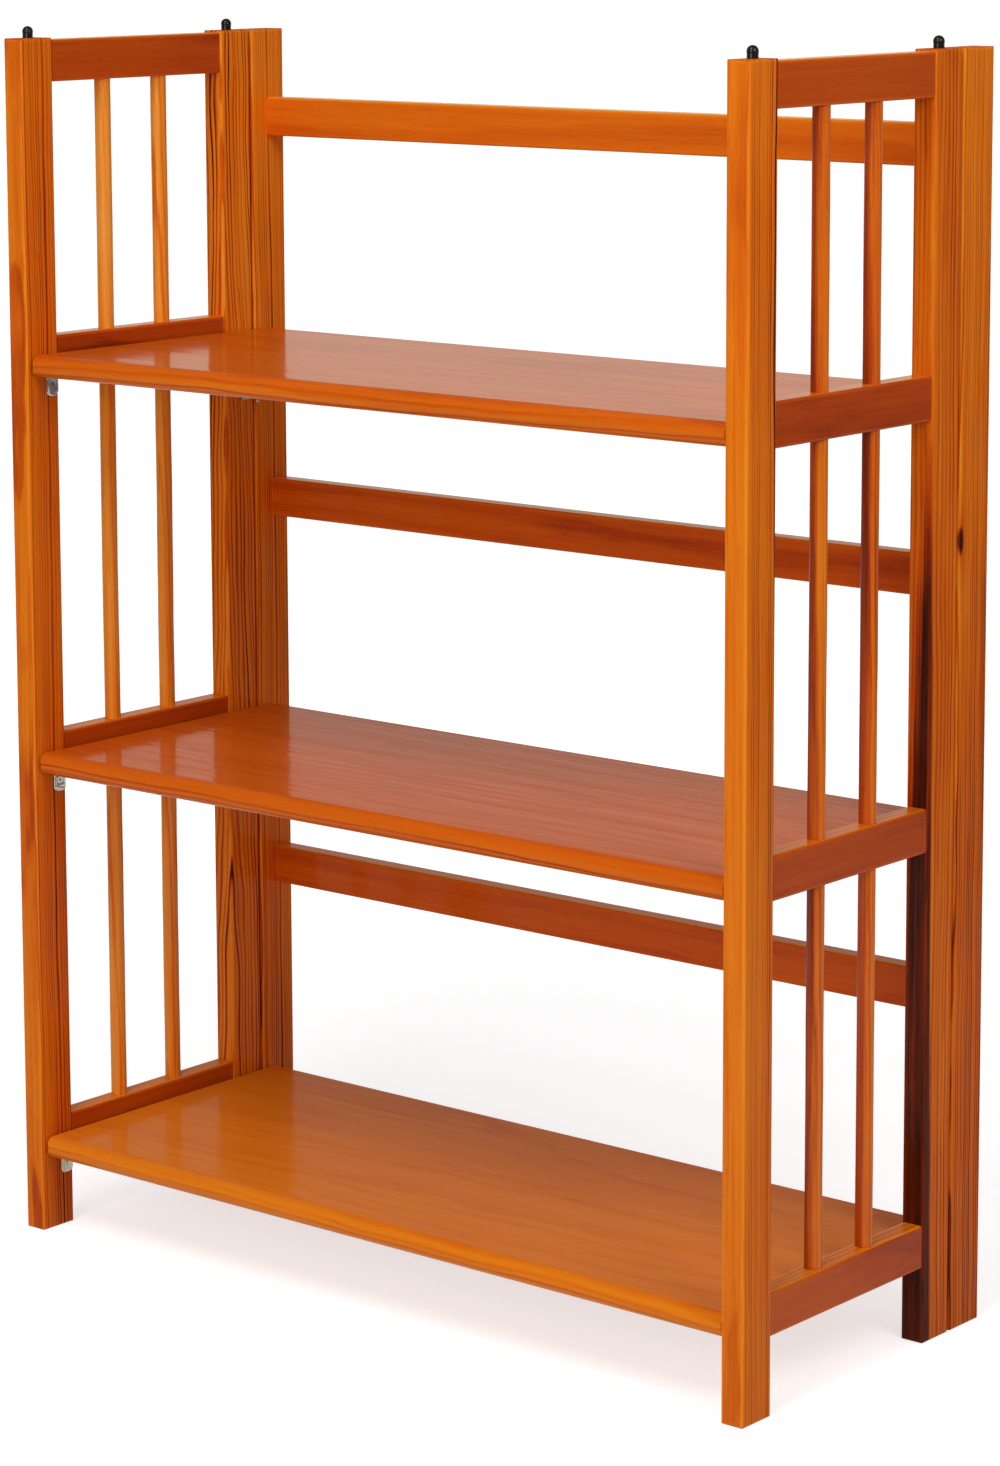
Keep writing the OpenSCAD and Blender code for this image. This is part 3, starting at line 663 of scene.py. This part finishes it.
def make_screw_tree():
    """A screw at each point of the start mesh, driven along the point's axis attribute."""
    sides = 24
    rings_along = 27
    blunt_tip = 0.02
    recess_over_radius = 1.15
    thread_facets = 12
    tree = bpy.data.node_groups.new("cross_head_screws", "GeometryNodeTree")
    given, result = group_sockets(
        tree,
        {"Places": "Geometry", "Head radius": "Float", "Shank radius": "Float", "Length": "Float",
         "Point length": "Float", "Recess width": "Float", "Recess depth": "Float",
         "Thread pitch": "Float", "Thread height": "Float", "Seed": "Int", "Steel": "Material"},
        {"Screws": "Geometry"})
    length, head_radius, shank_radius = (given[name] for name in ("Length", "Head radius", "Shank radius"))

    # head, shank and point, turned about Z from the head's face at 0
    line = add_node(tree, "GeometryNodeCurvePrimitiveLine")
    end = add_node(tree, "ShaderNodeCombineXYZ", 0.0, 0.0, length)
    tree.links.new(end.outputs[0], line.inputs["End"])
    line = add_node(tree, "GeometryNodeResampleCurve", line.outputs[0], mode="COUNT")
    line.inputs["Count"].default_value = rings_along
    along = add_node(tree, "GeometryNodeSplineParameter").outputs["Factor"]
    along = number(tree, "MULTIPLY", along, length)
    cone = number(tree, "SUBTRACT", head_radius, along)
    to_tip = number(tree, "DIVIDE", number(tree, "SUBTRACT", length, along), given["Point length"])
    to_tip = number(tree, "MAXIMUM", number(tree, "MINIMUM", to_tip, 1.0), blunt_tip)
    profile = number(tree, "MAXIMUM", cone, number(tree, "MULTIPLY", shank_radius, to_tip))
    section = add_node(tree, "GeometryNodeCurvePrimitiveCircle", sides)
    section.inputs["Radius"].default_value = 1.0
    recessed = swept(tree, line.outputs[0], section.outputs[0], profile)

    # the cross recess
    slot_length = number(tree, "MULTIPLY", head_radius, recess_over_radius)
    slot_height = number(tree, "MULTIPLY", given["Recess depth"], 2.0)
    for across in ((slot_length, given["Recess width"]), (given["Recess width"], slot_length)):
        size = add_node(tree, "ShaderNodeCombineXYZ", *across, slot_height)
        slot = add_node(tree, "GeometryNodeMeshCube")
        tree.links.new(size.outputs[0], slot.inputs["Size"])
        recessed = add_node(tree, "GeometryNodeMeshBoolean", recessed, slot.outputs[0],
                            operation="DIFFERENCE", solver="EXACT").outputs[0]

    # the thread, a three-sided ridge from under the head to the point
    unthreaded = number(tree, "ADD", head_radius, given["Point length"])
    threaded = number(tree, "SUBTRACT", length, unthreaded)
    helix = add_node(tree, "GeometryNodeCurveSpiral", thread_facets)
    tree.links.new(number(tree, "DIVIDE", threaded, given["Thread pitch"]), helix.inputs["Rotations"])
    tree.links.new(shank_radius, helix.inputs["Start Radius"])
    tree.links.new(shank_radius, helix.inputs["End Radius"])
    tree.links.new(threaded, helix.inputs["Height"])
    ridge = add_node(tree, "GeometryNodeCurvePrimitiveCircle", 3)
    tree.links.new(given["Thread height"], ridge.inputs["Radius"])
    thread = swept(tree, helix.outputs[0], ridge.outputs[0])
    thread = add_node(tree, "GeometryNodeTransform", thread)
    under_head = add_node(tree, "ShaderNodeCombineXYZ", 0.0, 0.0, head_radius)
    tree.links.new(under_head.outputs[0], thread.inputs["Translation"])
    one_screw = add_node(tree, "GeometryNodeJoinGeometry")
    for shape in (recessed, thread.outputs[0]):
        tree.links.new(shape, one_screw.inputs[0])

    # one at each place, driven along its axis and turned at random
    axis = add_node(tree, "GeometryNodeInputNamedAttribute", "axis", data_type="FLOAT_VECTOR").outputs[0]
    driven = add_node(tree, "FunctionNodeAlignRotationToVector", axis="Z")
    tree.links.new(axis, driven.inputs["Vector"])
    quarter_turn = math.pi / 2
    spun = add_node(tree, "FunctionNodeAxisAngleToRotation", (0.0, 0.0, 1.0),
                    random_number(tree, given["Seed"], quarter_turn))
    driven = add_node(tree, "FunctionNodeRotateRotation", driven.outputs[0], spun.outputs[0],
                      rotation_space="LOCAL")
    placed = add_node(tree, "GeometryNodeInstanceOnPoints", given["Places"])
    tree.links.new(one_screw.outputs[0], placed.inputs["Instance"])
    tree.links.new(driven.outputs[0], placed.inputs["Rotation"])
    give_solid(tree, placed.outputs[0], given["Steel"], result["Screws"])
    return tree


shelf_undersides = [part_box(f"{shelf}_shelf")[0].z for shelf in ("bottom", "middle", "top")]
leaf_screw_heights = [z - HINGE_MIDDLE + s * LEAF_SCREW_PITCH / 2 for z in shelf_undersides for s in (-1, 1)]
bracket_screw_heights = [z - BRACKET_SCREW_DROP for z in shelf_undersides]


def screw_points(node, across, heights):
    """The head centre of each screw in a packed group, which were all driven outwards."""
    low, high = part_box(node)
    return [((low.x if across > 0 else high.x), (low.y + high.y) / 2, z, across) for z in heights]


# The screws of the back frame and of each side frame: a name, a body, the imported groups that
# they replace, and their points
stile_nodes = [f"{side}_stile_hinge_screws" for side, _ in SIDES]
stile_points = []
for node, (_, across) in zip(stile_nodes, SIDES):
    stile_points += screw_points(node, across, leaf_screw_heights)
screw_sets = [("stile_hinge_screws", "back_frame", stile_nodes, stile_points)]
for side, across in SIDES:
    leg_node = f"{side}_leg_hinge_screws"
    bracket_node = f"{side}_bracket_screws"
    points = screw_points(leg_node, across, leaf_screw_heights)
    points += screw_points(bracket_node, across, bracket_screw_heights)
    screw_sets.append((f"{side}_side_screws", f"{side}_side", [leg_node, bracket_node], points))

screw_tree = make_screw_tree()
for seed, (name, body, nodes, points) in enumerate(screw_sets):
    places = bpy.data.meshes.new(name + "_places")
    places.from_pydata([point[:3] for point in points], [], [])
    axes = places.attributes.new("axis", "FLOAT_VECTOR", "POINT")
    axes.data.foreach_set("vector", [x for point in points for x in (point[3], 0.0, 0.0)])
    screws = made_by(screw_tree, name, places, seed=seed, steel=zinc_steel, **SCREW_SIZES)
    smooth_round_faces(screws.data)
    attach(screws, body)
    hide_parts(*nodes)


# ---- Shelves ----
# Three one-piece pine shelves with a full round front edge and the grain along their length,
# rubbed to the highest gloss. The front edge is lighter and its rings show more: thinner stain, and painted
# light from below on its lower half.

# How far forward the front edge starts to lighten, in Y, by thinner stain and painted light from below
NOSE_START = -0.1400
for n, (shelf, stain, nose_stain) in enumerate((
        ("bottom", 0.20, -0.02), ("middle", 0.41, -0.12), ("top", 0.40, -0.20))):
    name = f"{shelf}_shelf"
    low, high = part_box(name)
    # forward of the nose start the stain is thinner, with painted light from below on the lower half of the
    # round edge
    finish_board(name, "X", pith=(0.6 * n, 0.03 + 0.02 * n, low.z - 0.40), ring_width=0.0050, stain=stain,
                 rings=0.06, wander=0.02, lean=(0.0, 0.9 - 0.7 * n, 0.0),
                 heart_at=(0.0, NOSE_START, (low.z + high.z) / 2), heart_slope=(0.0, -260.0, -100.0),
                 heart_depth=nose_stain, heart_rings=4.0, figure=0.26, ripple=0.42,
                 coat=0.44, coat_roughness=0.10, coat_ior=1.22)


# ---- Floor, light and camera ----
# A plain pale floor under a white surround, three broad soft lamps, and a long lens. None of
# it belongs to the bookcase.
FLOOR_REACH = 30
floor_corners = [(x * FLOOR_REACH, y * FLOOR_REACH, 0) for x, y in ((-1, -1), (1, -1), (1, 1), (-1, 1))]
floor_mesh = bpy.data.meshes.new("floor")
floor_mesh.from_pydata(floor_corners, [], [(0, 1, 2, 3)])
floor = add_object("floor", floor_mesh)


def glossy_rays(tree):
    """1 for rays from the lacquer and the steel, else 0."""
    return tree.nodes.new("ShaderNodeLightPath").outputs["Is Glossy Ray"]


def seen_directly(tree):
    """1 for rays from the camera, a mirror-like surface or clear glass, else 0."""
    path = tree.nodes.new("ShaderNodeLightPath").outputs
    seen = number(tree, "MAXIMUM", path["Is Camera Ray"], path["Is Glossy Ray"])
    return number(tree, "MAXIMUM", seen, path["Is Transmission Ray"])


def towards_backdrop(tree, place):
    """1 behind the bookcase and to its left, where the white backdrop stands, else 0."""
    backdrop_direction = (-0.64, 0.77, 0.0)
    level = vector(tree, "NORMALIZE", vector(tree, "MULTIPLY", place, (1.0, 1.0, 0.0)))
    return ease(tree, vector(tree, "DOT_PRODUCT", level, backdrop_direction), 0.25, 0.75)


def where_mirrored(tree, amount):
    """An amount for rays from the lacquer and the steel, and 1 for every other ray."""
    glossy = glossy_rays(tree)
    others = number(tree, "SUBTRACT", 1.0, glossy)
    return number(tree, "ADD", others, number(tree, "MULTIPLY", glossy, amount))


def surround_white(tree):
    """White where it is seen directly, and a little warm in the lacquer and the steel."""
    return vector(tree, "ADD", (1.0, 1.0, 1.0), scaled(tree, (0.0, -0.02, -0.16), glossy_rays(tree)))


def make_floor_paint():
    """White paint that glows where it is seen, less so near the bookcase to keep its shadow."""
    made = bpy.data.materials.new("floor_paint")
    made.use_nodes = True
    tree = made.node_tree
    tree.nodes.clear()
    lit = add_node(tree, "ShaderNodeBsdfDiffuse", (0.72, 0.72, 0.72, 1.0))
    glow = add_node(tree, "ShaderNodeEmission", surround_white(tree))
    here = tree.nodes.new("ShaderNodeTexCoord").outputs["Object"]
    from_middle = vector(tree, "LENGTH", here)
    brightness = ease(tree, from_middle, 0.5, 2.2, 0.66, 0.88)
    # the lacquer and the steel see it white near by and towards the backdrop, and dim beyond
    near_by = fade(tree, from_middle, 0.9, 2.6)
    mirrored = number(tree, "MAXIMUM", near_by, towards_backdrop(tree, here))
    brightness = number(tree, "MULTIPLY", brightness, where_mirrored(tree, mirrored))
    tree.links.new(number(tree, "MULTIPLY", seen_directly(tree), brightness), glow.inputs["Strength"])
    both = add_node(tree, "ShaderNodeAddShader", lit.outputs[0], glow.outputs[0])
    tree.links.new(both.outputs[0], tree.nodes.new("ShaderNodeOutputMaterial").inputs["Surface"])
    return made


def make_studio():
    """A white surround that gives the bookcase only a soft, even light."""
    light_given = 0.285
    dimmest_mirrored = 0.12
    made = bpy.data.worlds.new("studio")
    made.use_nodes = True
    tree = made.node_tree
    tree.nodes.clear()
    sky = add_node(tree, "ShaderNodeBackground", surround_white(tree))
    # the backdrop ends overhead, and the lacquer and the steel mirror a dim room beyond it
    direction = tree.nodes.new("ShaderNodeTexCoord").outputs["Generated"]
    height = add_node(tree, "ShaderNodeSeparateXYZ", direction).outputs[2]
    overhead = ease(tree, height, 0.14, 0.34, 1.0, 0.28)
    mirrored = number(tree, "MULTIPLY", towards_backdrop(tree, direction), overhead)
    whiteness = where_mirrored(tree, number(tree, "MAXIMUM", mirrored, dimmest_mirrored))
    strength = number(tree, "MULTIPLY", seen_directly(tree), whiteness)
    tree.links.new(number(tree, "MAXIMUM", strength, light_given), sky.inputs["Strength"])
    tree.links.new(sky.outputs[0], tree.nodes.new("ShaderNodeOutputWorld").inputs["Surface"])
    return made


floor_mesh.materials.append(make_floor_paint())
bpy.context.scene.world = make_studio()

# Each lamp's place, what it is aimed at, the side of its square, and its power
for name, place, aim, size, power in (
        ("high_lamp", (0.3, -1.9, 3.2), (0.0, 0.0, 0.6), 1.4, 36.0),
        ("front_lamp", (0.6, -3.0, 1.3), (0.0, 0.0, 0.5), 1.4, 24.0),
        ("side_lamp", (1.5, -0.4, 1.5), (0.3, 0.0, 0.6), 0.8, 8.7)):
    lamp = bpy.data.lights.new(name, "AREA")
    lamp.shape = "SQUARE"
    lamp.size = size
    lamp.energy = power
    holder = add_object(name, lamp)
    holder.visible_camera = False
    holder.location = place
    holder.rotation_euler = (Vector(place) - Vector(aim)).to_track_quat("Z", "Y").to_euler()

# The camera stands to the right of the bookcase and just above its top, and looks a little down.
# Its place is in metres and its turns are in degrees; its focal length, and the row of the image
# that its axis meets, are in pixels.
IMAGE_HEIGHT = 1466
FOCAL_PIXELS = 4182.0
AXIS_ROW = 492.0
CAMERA_PLACE = (1.96635, -2.35222, 1.0412)
AZIMUTH = 39.66
LOOKS_DOWN = 8.22
ROLL = -0.20
camera_data = bpy.data.cameras.new("camera")
camera_data.sensor_width = 36.0
camera_data.lens = camera_data.sensor_width * FOCAL_PIXELS / IMAGE_HEIGHT
camera_data.shift_y = (AXIS_ROW - IMAGE_HEIGHT / 2) / IMAGE_HEIGHT
camera_data.clip_start = 0.05
camera_data.clip_end = 200.0
camera = add_object("camera", camera_data)
pose = Matrix.Translation(CAMERA_PLACE)
for degrees, axis in ((AZIMUTH, "Z"), (90 - LOOKS_DOWN, "X"), (ROLL, "Z")):
    pose = pose @ Matrix.Rotation(math.radians(degrees), 4, axis)
camera.matrix_world = pose
bpy.context.scene.camera = camera
bpy.context.scene.view_settings.view_transform = "Standard"
